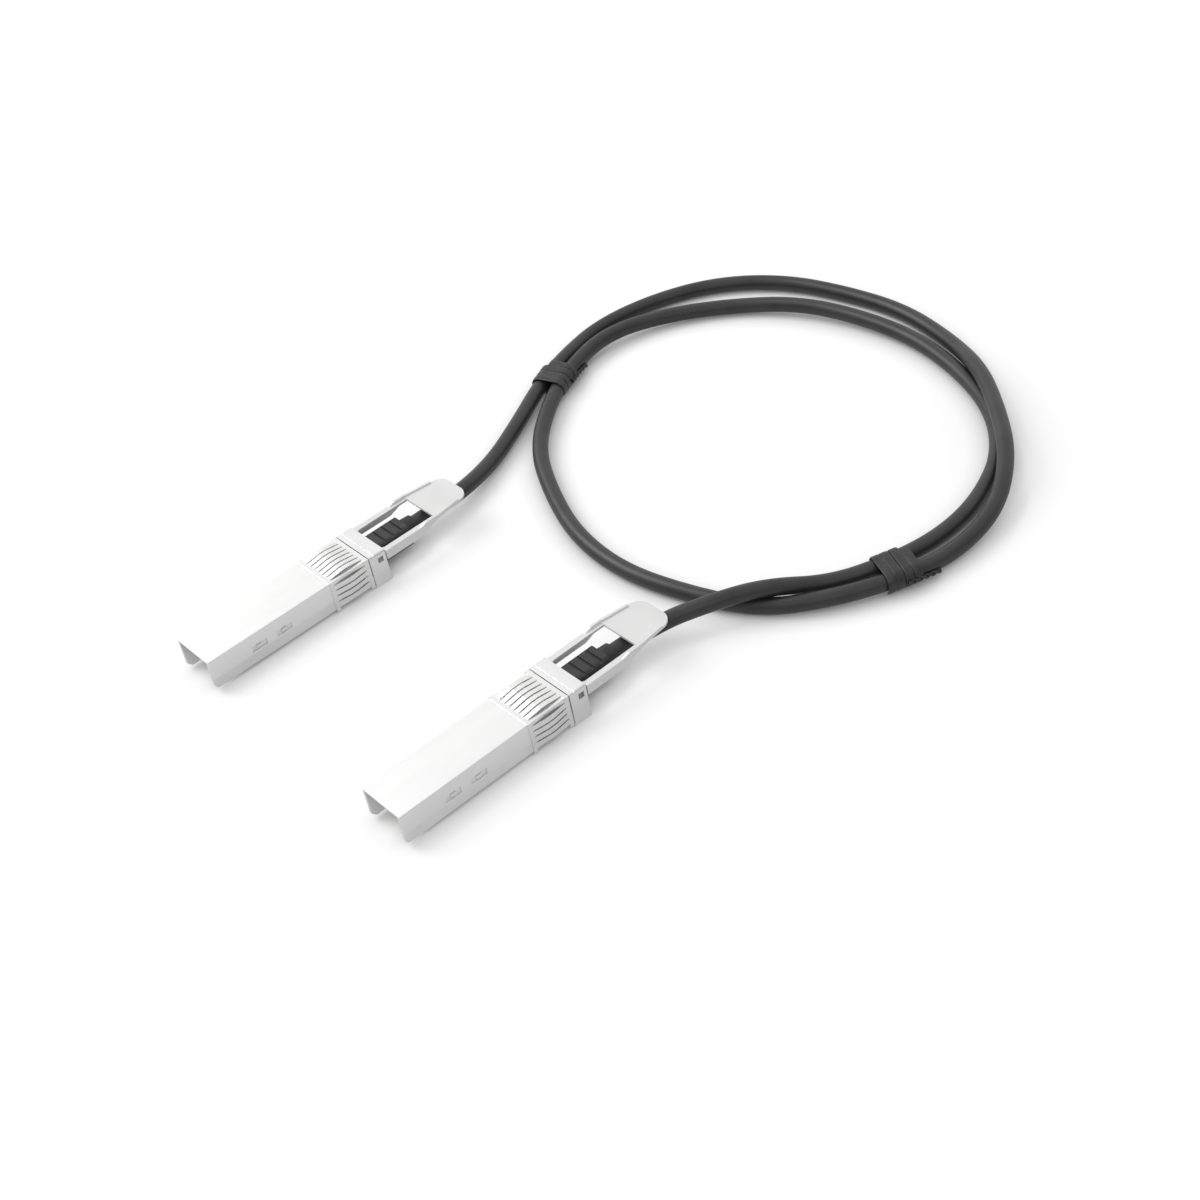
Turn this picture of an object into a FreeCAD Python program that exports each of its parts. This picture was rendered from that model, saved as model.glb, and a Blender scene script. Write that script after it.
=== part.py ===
"""Direct attach copper cable: two pluggable metal plugs on one black twinaxial cable.

Units are millimetres and +Z is up.  Both plugs point their noses towards -Y and stand side by side, and
the cable lies in a loose loop behind them.  The origin is on the surface that the plugs stand on, below
the middle of the two plugs.  Lengths along a plug are counted from its nose.
"""
import FreeCAD, Part
import math
import os
import re

V = FreeCAD.Vector

SIZES = {
    # the plug as a whole
    "plug_pitch": 75.6,        # distance between the two plugs' middle lines
    "plug_length": 80.0,       # nose to the rear edge of the release frame
    "cage_width": 13.4,        # the section that slides into a cage
    "cage_height": 8.5,
    "cage_lift": 0.5,          # that section stands this far above the table
    "stop_at": 47.5,           # nose to the shoulder that meets the cage
    "head_end": 52.2,          # nose to the rear face of the head
    "head_lip_side": 0.4,      # the head stands this far out beyond the cage section's sides
    "head_lip_top": 0.3,
    "head_round": 0.7,
    # die-cast base
    "base_wall": 0.8,
    "base_floor": 1.8,
    "base_chamfer": 0.5,
    "nose_chamfer": 1.1,
    "mouth_depth": 10.4,       # the base has no floor over this length from the nose
    "ledge_end": 26.5,
    "ledge_under": 0.5,        # how far the ledge reaches under the card
    # stamped cover
    "sheet": 0.3,
    "skirt": 5.4,              # depth of the cover's side skirts
    "cover_round": 0.9,
    "cover_gap": 0.15,         # cover to head
    "snap_length": 4.4,        # the windows in the skirts that snap over the base's nubs
    "snap_height": 1.7,
    "snap_rise": 0.5,          # skirt's lower edge to a window's
    "snap_first": 11.6,
    "snap_pitch": 7.2,
    "snap_count": 2,
    "nub_length": 1.4,
    "nub_height": 0.9,
    # spring-finger collar
    "collar_start": 35.6,
    "collar_sheet": 0.2,
    "collar_band": 1.1,
    "collar_rise": 0.5,
    "collar_wing": 2.0,
    "slit": 0.4,
    "top_fingers": 7,
    "side_fingers": 4,
    "collar_gap": 0.2,         # collar to head
    # paddle card
    "card_width": 9.2,
    "card_thick": 1.0,
    "card_start": 3.2,
    "card_end": 26.0,
    "card_lift": 2.25,         # cage section's underside to the card's underside
    "card_bevel": 0.35,
    "card_clear": 0.05,
    "pad_count": 10,
    "pad_pitch": 0.8,
    "pad_width": 0.55,
    "pad_length": 3.0,
    "pad_thick": 0.05,
    "pad_inset": 0.6,
    # latch
    "groove_at": 48.6,         # shallow groove across the head's top
    "groove_width": 0.5,
    "groove_depth": 0.25,
    "window_length": 1.6,      # notch in each side of the head, over an arm's slot
    "window_height": 1.6,
    "window_back": 0.8,        # the notch to the head's rear face
    "boss_at": 45.0,           # nose to the boss's catching face
    "boss_size": 2.6,
    "boss_height": 0.45,
    "recess_depth": 1.05,
    "slide_thick": 0.8,
    "slide_clear": 0.1,
    "travel": 2.5,
    "tine_inner": 1.6,
    "tine_outer": 3.1,
    "bar_length": 2.5,
    "tine_length": 4.0,
    "wedge_length": 2.2,
    "wedge_height": 0.4,
    # release frame
    "frame_sheet": 0.6,
    "arm_inset": 0.1,          # inner arm to the base's wall
    "arm_drop": 0.6,           # the arms' upper edges lie this far below the cover's top
    "arm_height": 2.6,
    "arm_slot": 0.1,
    "frame_inset": 0.1,        # the frame's outer faces to the head's
    "frame_lip": 0.5,          # the arms' edges stand this far above the crosspiece
    "bridge_length": 11.5,     # crosspiece from its front edge to its rear
    "bridge_taper": 1.4,       # how much each side of it closes in towards the rear
    "arm_flange": 1.0,         # width of the fold along each arm's top
    "bridge_round": 3.6,
    "arm_rise": 5.0,           # length over which an arm's lower edge rises to the crosspiece
    "joggle_gap": 0.4,
    "lug_start": 38.0,
    "lug_reach": 2.7,
    # return springs
    "spring_radius": 0.85,
    "wire": 0.3,
    "spring_turns": 6,
    # cable, ferrule and boot
    "cable_radius": 2.1,
    "cable_axis": 4.8,         # height of the cable's axis inside a plug
    "jacket_start": 61.0,      # the jacket is stripped back to here, inside the boot
    "braid_radius": 1.7,
    "braid_wall": 0.2,
    "fit_gap": 0.05,
    "ferrule_wall": 0.6,
    "ferrule_start": 44.0,
    "ferrule_end": 50.0,
    "flange_radius": 3.1,
    "flange_length": 0.95,
    "boot_width": 7.2,
    "boot_height": 6.0,
    "boot_end": 62.5,
    "boot_tail": 65.5,
    "tail_radius": 2.7,
    "boot_round": 1.4,
    "rib_pitch": 2.6,
    "rib_width": 0.8,
    "rib_depth": 0.4,
    "rib_count": 3,
    # shielded pairs and their conductors
    "pair_width": 1.35,
    "pair_height": 0.95,
    "pair_spread": 0.75,
    "pair_end": 31.0,
    "pair_drop": 0.4,
    "conductor_radius": 0.2,
    "conductor_gap": 0.7,
    # chips on the card
    "chip_length": 3.0,
    "chip_height": 0.9,
    "chip_at": 13.0,
    "capacitor_length": 1.0,
    "capacitor_width": 0.45,
    # ties round the two strands of the loop
    "tie_width": 7.0,
    "tie_thick": 0.45,
    "tie_gap": 0.3,
    "tie_tail": 9.0,
    "tail_radius_of_tie": 0.6,
    "left_tie_x": -57.4,
    "left_tie_y": 87.5,
    "left_tie_z": 2.94,
    "left_tie_turn": 26.9,
    "left_tie_spread": 5.2,
    "right_tie_x": 66.8,
    "right_tie_y": 87.2,
    "right_tie_z": 2.98,
    "right_tie_turn": -18.0,
    "right_tie_spread": 6.15,
}

# The cable's route from plug b to plug a: corners of straight runs, chosen by hand.
ROUTE = [
    (37.8, 37.2, 4.8),
    (45.8, 51.3, 7.2),
    (50.8, 62.5, 6.3),
    (58.3, 75.3, 2.4),
    (64.7, 88.7, 3.1),
    (67.0, 104.0, 2.4),
    (64.7, 120.1, 2.2),
    (57.0, 136.5, 2.2),
    (43.2, 149.2, 2.2),
    (25.6, 156.9, 2.2),
    (7.0, 160.8, 2.6),
    (-12.1, 159.2, 3.0),
    (-29.2, 154.2, 3.3),
    (-44.5, 144.3, 2.3),
    (-56.4, 129.6, 2.8),
    (-62.6, 112.7, 3.7),
    (-59.6, 96.6, 2.9),
    (-51.3, 81.8, 3.1),
    (-38.8, 66.9, 2.7),
    (-22.0, 57.4, 2.3),
    (-3.5, 50.0, 2.3),
    (15.5, 48.2, 2.2),
    (34.0, 52.1, 2.3),
    (51.2, 59.0, 2.1),
    (62.7, 71.1, 3.2),
    (70.3, 86.1, 3.1),
    (73.5, 102.0, 2.5),
    (71.4, 118.5, 3.7),
    (62.2, 133.3, 6.2),
    (48.1, 145.8, 6.6),
    (33.2, 156.6, 6.0),
    (15.4, 165.2, 2.5),
    (-4.0, 169.0, 2.2),
    (-22.9, 166.5, 2.2),
    (-41.5, 160.9, 2.3),
    (-56.8, 149.0, 2.3),
    (-65.6, 132.6, 2.2),
    (-68.8, 115.1, 2.2),
    (-65.3, 99.6, 2.5),
    (-59.5, 85.5, 3.2),
    (-51.8, 71.1, 2.5),
    (-43.6, 54.8, 2.4),
    (-37.8, 37.0, 4.8),
]
ARC_SHARE = 0.45               # part of the shorter run that an arc takes

doc = FreeCAD.newDocument("direct_attach_cable")
sheet = doc.addObject("Spreadsheet::Sheet", "sizes")
for row, (alias, number) in enumerate(SIZES.items(), start=1):
    sheet.set("A%d" % row, alias)
    sheet.set("B%d" % row, str(number))
    sheet.setAlias("B%d" % row, alias)
doc.recompute()

PARTS = []                     # every sub-part, in the order it is made


def size(name):
    """One value of the sheet."""
    return float(sheet.get(name))


def bound(text):
    """An expression over the sheet's names, as the document's objects read it."""
    return re.sub(r"[a-z_]{3,}", lambda word: "sizes." + word.group(0), str(text))


def value(text):
    """What such an expression comes to now."""
    return float(sheet.evalExpression(str(text)))


def new_body(label, side):
    """A PartDesign body on plug a (side -1) or plug b (side +1), in the plug's own frame."""
    body = doc.addObject("PartDesign::Body", label)
    body.Label = label
    body.setExpression("Placement.Base.x", bound("%d * plug_pitch / 2" % side))
    body.setExpression("Placement.Base.y", bound("-plug_length / 2"))
    PARTS.append(body)
    return body


def origin_plane(body, role):
    for feature in body.Origin.OriginFeatures:
        if feature.Role == role:
            return feature
    raise ValueError(role)


def outline(body, role, offset, corners):
    """A sketch on an origin plane, moved along its normal: a closed outline of straight sides.

    Each corner is two expressions, so the outline follows the sheet.
    """
    sketch = body.newObject("Sketcher::SketchObject", body.Label + "_sketch")
    sketch.AttachmentSupport = [(origin_plane(body, role), "")]
    sketch.MapMode = "FlatFace"
    sketch.setExpression("AttachmentOffset.Base.z", bound(offset))
    points = [V(value(x), value(y), 0) for x, y in corners]
    for index, point in enumerate(points):
        sketch.addGeometry(Part.LineSegment(point, points[(index + 1) % len(points)]))
    for index, (x, y) in enumerate(corners):
        sketch.addConstraint(make_constraint("Coincident", index, 2, (index + 1) % len(points), 1))
    for index, (x, y) in enumerate(corners):
        for kind, text, number in (("DistanceX", x, points[index].x), ("DistanceY", y, points[index].y)):
            place = sketch.addConstraint(make_constraint(kind, -1, 1, index, 1, number))
            sketch.setExpression("Constraints[%d]" % place, bound(text))
    return sketch


def make_constraint(*words):
    import Sketcher
    return Sketcher.Constraint(*words)


def rectangle(x_low, x_high, y_low, y_high):
    return [(x_low, y_low), (x_high, y_low), (x_high, y_high), (x_low, y_high)]


def grow(body, role, corners, low, high, cut=False):
    """Pad, or with cut Pocket, an outline from low to high along the plane's axis."""
    towards_minus = role == "XZ_Plane"
    offset = "-(%s)" % high if towards_minus else low
    if cut:
        offset = "-(%s)" % low if towards_minus else high
    sketch = outline(body, role, offset, corners)
    feature = body.newObject("PartDesign::Pocket" if cut else "PartDesign::Pad", body.Label + "_step")
    feature.Profile = sketch
    feature.setExpression("Length", bound("(%s) - (%s)" % (high, low)))
    doc.recompute()
    return feature


def edges_where(feature, test):
    """The names of the feature's edges that pass a test on their middle and direction."""
    names = []
    for index, edge in enumerate(feature.Shape.Edges, start=1):
        middle = edge.valueAt((edge.FirstParameter + edge.LastParameter) / 2)
        start = edge.valueAt(edge.FirstParameter)
        finish = edge.valueAt(edge.LastParameter)
        if test(middle, (finish - start)):
            names.append("Edge%d" % index)
    return names


def fillet(body, feature, names, radius):
    blend = body.newObject("PartDesign::Fillet", body.Label + "_fillet")
    blend.Base = (feature, names)
    blend.setExpression("Radius", bound(radius))
    doc.recompute()
    return blend


def repeat(body, feature, role, length, count):
    """A row of copies of a feature along an origin axis."""
    row = body.newObject("PartDesign::LinearPattern", body.Label + "_row")
    row.Originals = [feature]
    row.Direction = (origin_plane(body, role), [""])
    row.setExpression("Length", bound(length))
    row.setExpression("Occurrences", bound(count))
    body.Tip = row
    doc.recompute()
    return row


def turned(body, corners, cut=False):
    """Turn an outline (distance along the plug, radius) about the cable's axis."""
    along = [("(%s)" % along, "cable_axis + (%s)" % radius) for along, radius in corners]
    sketch = outline(body, "YZ_Plane", "0", along)
    sketch.addGeometry(Part.LineSegment(V(0, value("cable_axis"), 0), V(10, value("cable_axis"), 0)), True)
    line = len(corners)
    sketch.addConstraint(make_constraint("Horizontal", line))
    sketch.addConstraint(make_constraint("DistanceX", -1, 1, line, 1, 0.0))
    sketch.addConstraint(make_constraint("DistanceX", line, 1, line, 2, 10.0))
    place = sketch.addConstraint(make_constraint("DistanceY", -1, 1, line, 1, value("cable_axis")))
    sketch.setExpression("Constraints[%d]" % place, bound("cable_axis"))
    feature = body.newObject("PartDesign::Groove" if cut else "PartDesign::Revolution", body.Label + "_turn")
    feature.Profile = sketch
    feature.ReferenceAxis = (sketch, ["Axis0"])
    feature.Angle = 360.0
    doc.recompute()
    return feature


# Places that several pieces share, as expressions over the sheet.
CAGE_HALF = "cage_width / 2"
CAGE_TOP = "cage_lift + cage_height"
INNER_HALF = "cage_width / 2 - base_wall"
FLOOR_TOP = "cage_lift + base_floor"
SKIRT_LOW = "cage_lift + cage_height - skirt"
CARD_LOW = "cage_lift + card_lift"
CARD_TOP = "cage_lift + card_lift + card_thick"
RECESS_TOP = "cage_lift + recess_depth"
SLIDE_LOW = "cage_lift + recess_depth - slide_clear - slide_thick"
SLIDE_TOP = "cage_lift + recess_depth - slide_clear"
BOSS_START = "boss_at - boss_size"
BAR_END = "boss_at - boss_size - travel - slide_clear"
BAR_START = "boss_at - boss_size - travel - slide_clear - bar_length"
ARM_OUT = "cage_width / 2 - base_wall - arm_inset"
ARM_IN = "cage_width / 2 - base_wall - arm_inset - frame_sheet"
ARM_LOW = "cage_lift + cage_height - arm_drop - arm_height"
ARM_TOP = "cage_lift + cage_height - arm_drop"
HEAD_HALF = "cage_width / 2 + head_lip_side"
HEAD_TOP = "cage_lift + cage_height + head_lip_top"
FRAME_HALF = "cage_width / 2 + head_lip_side - frame_inset"
BRIDGE_START = "(plug_length - bridge_length)"
JOGGLE = "head_end + joggle_gap"
FERRULE_OUT = "braid_radius + fit_gap + ferrule_wall"


def housing_base(name, side):
    """Die-cast lower shell: channel with a mouth, card ledges, solid head, latch boss and slide recess."""
    body = new_body(name, side)
    half = [
        ("%s - base_chamfer" % CAGE_HALF, "cage_lift"),
        (CAGE_HALF, "cage_lift + base_chamfer"),
        (CAGE_HALF, SKIRT_LOW),
        ("%s - sheet" % CAGE_HALF, SKIRT_LOW),
        ("%s - sheet" % CAGE_HALF, "%s - sheet" % CAGE_TOP),
        (INNER_HALF, "%s - sheet" % CAGE_TOP),
        (INNER_HALF, FLOOR_TOP),
    ]
    mirrored = [("-(%s)" % x, z) for x, z in reversed(half)]
    grow(body, "XZ_Plane", half + mirrored, "0", "stop_at")
    grow(body, "XZ_Plane", rectangle("-(%s)" % INNER_HALF, INNER_HALF, "0", FLOOR_TOP),
         "0", "mouth_depth", True)
    nose = [("0", "cage_lift"), ("nose_chamfer", "cage_lift"), ("0", "cage_lift + nose_chamfer")]
    grow(body, "YZ_Plane", nose, "-(%s)" % CAGE_HALF, CAGE_HALF, True)
    for hand in (-1, 1):
        under = "%d * (card_width / 2 - ledge_under)" % hand
        beside = "%d * (card_width / 2 + card_clear)" % hand
        wall = "%d * (%s)" % (hand, INNER_HALF)
        ledge = [(wall, FLOOR_TOP), (under, FLOOR_TOP), (under, CARD_LOW), (beside, CARD_LOW),
                 (beside, CARD_TOP), (wall, CARD_TOP)]
        grow(body, "XZ_Plane", ledge, "mouth_depth", "ledge_end")
    head = grow(body, "XZ_Plane", rectangle("-(%s)" % HEAD_HALF, HEAD_HALF, "0", HEAD_TOP),
                "stop_at", "head_end")
    top, half_width = value(HEAD_TOP), value(HEAD_HALF)
    corners = edges_where(head, lambda m, d: abs(m.z - top) < 0.01 and abs(abs(m.x) - half_width) < 0.01
                          and abs(d.y) > 1)
    fillet(body, head, corners, "head_round")
    # cradle for the ferrule and its flange, and the bore for the boot's neck
    turned(body, [("ferrule_start - fit_gap", "0"), ("head_end + 0.5", "0"),
                  ("head_end + 0.5", "%s + fit_gap" % FERRULE_OUT), ("stop_at", "%s + fit_gap" % FERRULE_OUT),
                  ("stop_at", "flange_radius + fit_gap"),
                  ("stop_at - flange_length - fit_gap", "flange_radius + fit_gap"),
                  ("stop_at - flange_length - fit_gap", "%s + fit_gap" % FERRULE_OUT),
                  ("ferrule_start - fit_gap", "%s + fit_gap" % FERRULE_OUT)], cut=True)
    # slots through the head for the two arms of the release frame
    for hand in (-1, 1):
        low_x = "%d * (%s - arm_slot)" % (hand, ARM_IN)
        high_x = "%d * (%s + arm_slot)" % (hand, ARM_OUT)
        slot = rectangle(low_x, high_x, "%s - arm_slot" % ARM_LOW, "%s + arm_slot" % ARM_TOP)
        grow(body, "XZ_Plane", slot, "stop_at - 0.5", "head_end + 0.5", True)
        window = rectangle("head_end - window_back - window_length", "head_end - window_back",
                           "%s - arm_height / 2 - window_height / 2" % ARM_TOP,
                           "%s - arm_height / 2 + window_height / 2" % ARM_TOP)
        inner, outer = "%d * (%s)" % (hand, ARM_OUT), "%d * (%s + 0.1)" % (hand, HEAD_HALF)
        lowest, highest = (inner, outer) if hand > 0 else (outer, inner)
        grow(body, "YZ_Plane", window, lowest, highest, True)
    groove = rectangle("groove_at", "groove_at + groove_width", "%s - groove_depth" % HEAD_TOP,
                       "%s + 0.1" % HEAD_TOP)
    grow(body, "YZ_Plane", groove, "-(%s) - 0.1" % HEAD_HALF, "%s + 0.1" % HEAD_HALF, True)
    # recess under the floor for the latch slide, round the island that carries the boss
    island = "boss_size / 2 + slide_clear"
    reach = "tine_outer + slide_clear"
    grow(body, "XY_Plane",
         rectangle("-(%s)" % INNER_HALF, INNER_HALF, "%s - slide_clear" % BAR_START, BOSS_START),
         "0", RECESS_TOP, True)
    for hand in (-1, 1):
        track = rectangle("%d * (%s)" % (hand, island), "%d * (%s)" % (hand, reach),
                          "%s - 0.1" % BOSS_START, "%s + tine_length + travel + slide_clear" % BAR_END)
        grow(body, "XY_Plane", track, "0", RECESS_TOP, True)
        # slot in the floor for the leg that joins the frame to the slide
        leg = rectangle("%d * (%s - arm_slot)" % (hand, ARM_IN), "%d * (%s)" % (hand, INNER_HALF),
                        "%s - slide_clear" % BAR_START, "%s + travel + slide_clear" % BAR_END)
        grow(body, "XY_Plane", leg, "0", "%s + 0.1" % FLOOR_TOP, True)
    # latch boss: a ramp that rises towards the catching face
    boss = [(BOSS_START, "cage_lift"), ("boss_at", "cage_lift - boss_height"), ("boss_at", "cage_lift + 0.3"),
            (BOSS_START, "cage_lift + 0.3")]
    grow(body, "YZ_Plane", boss, "-boss_size / 2", "boss_size / 2")
    # nubs that the cover's windows snap over
    for hand in (-1, 1):
        low = "%s + snap_rise + snap_height / 2 - nub_height / 2" % SKIRT_LOW
        nub = rectangle("%d * (%s - sheet - 0.05)" % (hand, CAGE_HALF),
                        "%d * (%s - 0.06)" % (hand, CAGE_HALF),
                        low, "%s + nub_height" % low)
        start = "snap_first + snap_length / 2 - nub_length / 2"
        step = grow(body, "XZ_Plane", nub, start, "%s + nub_length" % start)
        repeat(body, step, "Y_Axis", "snap_pitch * (snap_count - 1)", "snap_count")
    return body


def housing_cover(name, side):
    """Stamped cover: a flat top with two side skirts, rounded along its folds, with snap windows."""
    body = new_body(name, side)
    fold = [
        (CAGE_HALF, SKIRT_LOW),
        (CAGE_HALF, CAGE_TOP),
        ("-(%s)" % CAGE_HALF, CAGE_TOP),
        ("-(%s)" % CAGE_HALF, SKIRT_LOW),
        ("-(%s - sheet)" % CAGE_HALF, SKIRT_LOW),
        ("-(%s - sheet)" % CAGE_HALF, "%s - sheet" % CAGE_TOP),
        ("%s - sheet" % CAGE_HALF, "%s - sheet" % CAGE_TOP),
        ("%s - sheet" % CAGE_HALF, SKIRT_LOW),
    ]
    shell = grow(body, "XZ_Plane", fold, "0", "stop_at - cover_gap")
    top, half_width = value(CAGE_TOP), value(CAGE_HALF)
    names = edges_where(shell, lambda m, d: abs(m.z - top) < 0.01 and abs(abs(m.x) - half_width) < 0.01
                        and abs(d.y) > 1)
    fillet(body, shell, names, "sheet * 0.9")
    for hand in (-1, 1):
        low = "%s + snap_rise" % SKIRT_LOW
        window = rectangle("%d * (%s - sheet - 0.1)" % (hand, CAGE_HALF),
                           "%d * (%s + 0.1)" % (hand, CAGE_HALF),
                           low, "%s + snap_height" % low)
        step = grow(body, "XZ_Plane", window, "snap_first", "snap_first + snap_length", True)
        repeat(body, step, "Y_Axis", "snap_pitch * (snap_count - 1)", "snap_count")
    return body


def shield_collar(name, side):
    """Spring-finger collar: two bands joined by bowed fingers on the top and both sides."""
    body = new_body(name, side)
    end = "stop_at - collar_gap"
    out_half = "%s + collar_sheet" % CAGE_HALF
    out_top = "%s + collar_sheet" % CAGE_TOP
    low = "cage_lift - collar_sheet"
    wing = "%s - collar_wing" % CAGE_HALF
    wrap = [(out_half, low), (out_half, out_top), ("-(%s)" % out_half, out_top), ("-(%s)" % out_half, low),
            ("-(%s)" % wing, low), ("-(%s)" % wing, "cage_lift"), ("-(%s)" % CAGE_HALF, "cage_lift"),
            ("-(%s)" % CAGE_HALF, CAGE_TOP), (CAGE_HALF, CAGE_TOP), (CAGE_HALF, "cage_lift"),
            (wing, "cage_lift"), (wing, low)]
    grow(body, "XZ_Plane", wrap, "collar_start", "collar_start + collar_band")
    grow(body, "XZ_Plane", wrap, "%s - collar_band" % end, end)
    first = "collar_start + collar_band"
    last = "%s - collar_band" % end
    crest_a = "collar_start + (%s - collar_start) * 0.42" % end
    crest_b = "collar_start + (%s - collar_start) * 0.58" % end

    def bow(flat):
        """One bowed strip in section, lying on the surface at height or half width flat."""
        lower = [("%s - 0.1" % first, flat), (first, flat), (crest_a, "%s + collar_rise" % flat),
                 (crest_b, "%s + collar_rise" % flat), (last, flat), ("%s + 0.1" % last, flat)]
        upper = [(y, "%s + collar_sheet" % z) for y, z in reversed(lower)]
        return lower + upper

    top_half = "%s - cover_round" % CAGE_HALF
    grow(body, "YZ_Plane", bow(CAGE_TOP), "-(%s)" % top_half, top_half)
    slit = rectangle("-(%s) - slit / 2" % top_half, "-(%s) + slit / 2" % top_half, first, last)
    cut = grow(body, "XY_Plane", slit, "%s - 0.1" % CAGE_TOP, "%s + 2 * collar_rise" % CAGE_TOP, True)
    repeat(body, cut, "X_Axis", "2 * (%s)" % top_half, "top_fingers + 1")
    side_low = "cage_lift + cover_round"
    side_high = "%s - cover_round" % CAGE_TOP
    for hand in (-1, 1):
        strip = [("%d * (%s)" % (hand, x), y) for y, x in bow(CAGE_HALF)]
        grow(body, "XY_Plane", strip, side_low, side_high)
        edge = rectangle(first, last, "%s - slit / 2" % side_low, "%s + slit / 2" % side_low)
        near = "%d * (%s - 0.1)" % (hand, CAGE_HALF)
        far = "%d * (%s + 2 * collar_rise)" % (hand, CAGE_HALF)
        lowest, highest = (near, far) if hand > 0 else (far, near)
        cut = grow(body, "YZ_Plane", edge, lowest, highest, True)
        repeat(body, cut, "Z_Axis", "(%s) - (%s)" % (side_high, side_low), "side_fingers + 1")
    return body


def paddle_card(name, side):
    """Circuit board whose bevelled front edge enters the host's connector."""
    body = new_body(name, side)
    edge = [("card_start", "%s + card_bevel" % CARD_LOW), ("card_start + card_bevel", CARD_LOW),
            ("card_end", CARD_LOW), ("card_end", CARD_TOP), ("card_start + card_bevel", CARD_TOP),
            ("card_start", "%s - card_bevel" % CARD_TOP)]
    grow(body, "YZ_Plane", edge, "-card_width / 2", "card_width / 2")
    for hand in (-1, 1):
        corner = [("%d * card_width / 2" % hand, "card_start"),
                  ("%d * card_width / 2" % hand, "card_start + 0.6"),
                  ("%d * (card_width / 2 - 0.4)" % hand, "card_start")]
        grow(body, "XY_Plane", corner, "%s - 0.1" % CARD_LOW, "%s + 0.1" % CARD_TOP, True)
    return body


def boxes(name, side, blocks):
    """A group of separate small blocks, each bound to the sheet: (x, y, z, length, width, height)."""
    members = []
    for index, block in enumerate(blocks):
        cube = doc.addObject("Part::Box", "%s_%d" % (name, index))
        for field, text in zip(("Placement.Base.x", "Placement.Base.y", "Placement.Base.z",
                                "Length", "Width", "Height"), block):
            cube.setExpression(field, bound(text))
        members.append(cube)
    group = doc.addObject("Part::Compound", name)
    group.Label = name
    group.Links = members
    group.setExpression("Placement.Base.x", bound("%d * plug_pitch / 2" % side))
    group.setExpression("Placement.Base.y", bound("-plug_length / 2"))
    PARTS.append(group)
    return group


def contact_pads(name, side):
    """Gold pads along the card's front edge, on both faces."""
    blocks = []
    count = int(size("pad_count"))
    for index in range(count):
        x = "%s * pad_pitch - pad_width / 2" % (index - (count - 1) / 2)
        for z in (CARD_TOP, "%s - pad_thick" % CARD_LOW):
            blocks.append((x, "card_start + pad_inset", z, "pad_width", "pad_length", "pad_thick"))
    return boxes(name, side, blocks)


def card_chips(name, side):
    """Memory chip and coupling capacitors on the card's upper face."""
    blocks = [("-chip_length / 2", "chip_at", CARD_TOP, "chip_length", "chip_length", "chip_height")]
    for hand in (-1, 1):
        for row in (0, 1):
            x = "%d * pair_spread + %s * conductor_gap - capacitor_width / 2" % (hand, row - 0.5)
            blocks.append((x, "chip_at + chip_length + 2", CARD_TOP, "capacitor_width", "capacitor_length",
                           "capacitor_width"))
    return boxes(name, side, blocks)


def round_edge_section(width, height):
    """An oval of flat sides and round ends, in the plane across the cable."""
    radius = height / 2
    flat = width / 2 - radius
    lines = [
        Part.LineSegment(V(-flat, 0, -radius), V(flat, 0, -radius)),
        Part.Arc(V(flat, 0, -radius), V(flat + radius, 0, 0), V(flat, 0, radius)),
        Part.LineSegment(V(flat, 0, radius), V(-flat, 0, radius)),
        Part.Arc(V(-flat, 0, radius), V(-flat - radius, 0, 0), V(-flat, 0, -radius)),
    ]
    return Part.Wire([line.toShape() for line in lines])


def place_feature(name, shape, side):
    feature = doc.addObject("Part::Feature", name)
    feature.Label = name
    feature.Shape = shape
    if side:
        feature.setExpression("Placement.Base.x", bound("%d * plug_pitch / 2" % side))
        feature.setExpression("Placement.Base.y", bound("-plug_length / 2"))
    PARTS.append(feature)
    return feature


def pair_height_at_end():
    return value(CARD_TOP) + size("pair_drop") + size("pair_height") / 2


def shielded_pairs(name, side):
    """Two foil-wrapped pairs that run side by side out of the braid and down to the card."""
    solids = []
    for hand in (-1, 1):
        rear = V(hand * size("pair_spread"), size("jacket_start"), size("cable_axis"))
        middle = V(hand * size("pair_spread"), size("ferrule_start"), size("cable_axis"))
        front = V(hand * size("pair_spread"), size("pair_end"), pair_height_at_end())
        sections = []
        for place in (rear, middle, front):
            section = round_edge_section(size("pair_width"), size("pair_height"))
            section.translate(place)
            sections.append(section)
        solids.append(Part.makeLoft(sections, True, True))
    return place_feature(name, Part.makeCompound(solids), side)


def pair_conductors(name, side):
    """Four bare conductors, bent down from the pairs to their lands on the card."""
    radius = size("conductor_radius")
    solids = []
    for hand in (-1, 1):
        for row in (-0.5, 0.5):
            x = hand * size("pair_spread") + row * size("conductor_gap")
            land = value(CARD_TOP) + radius
            top = V(x, size("pair_end"), pair_height_at_end())
            bend = V(x, size("pair_end") - 2.5, pair_height_at_end())
            touch = V(x, size("card_end") - 1.0, land)
            tip = V(x, size("card_end") - 3.5, land)
            wire, _ = rounded_path([top, bend, touch, tip], 0.3)
            solids.append(tube(wire, radius, top, V(0, -1, 0)))
    return place_feature(name, Part.makeCompound(solids), side)


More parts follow.
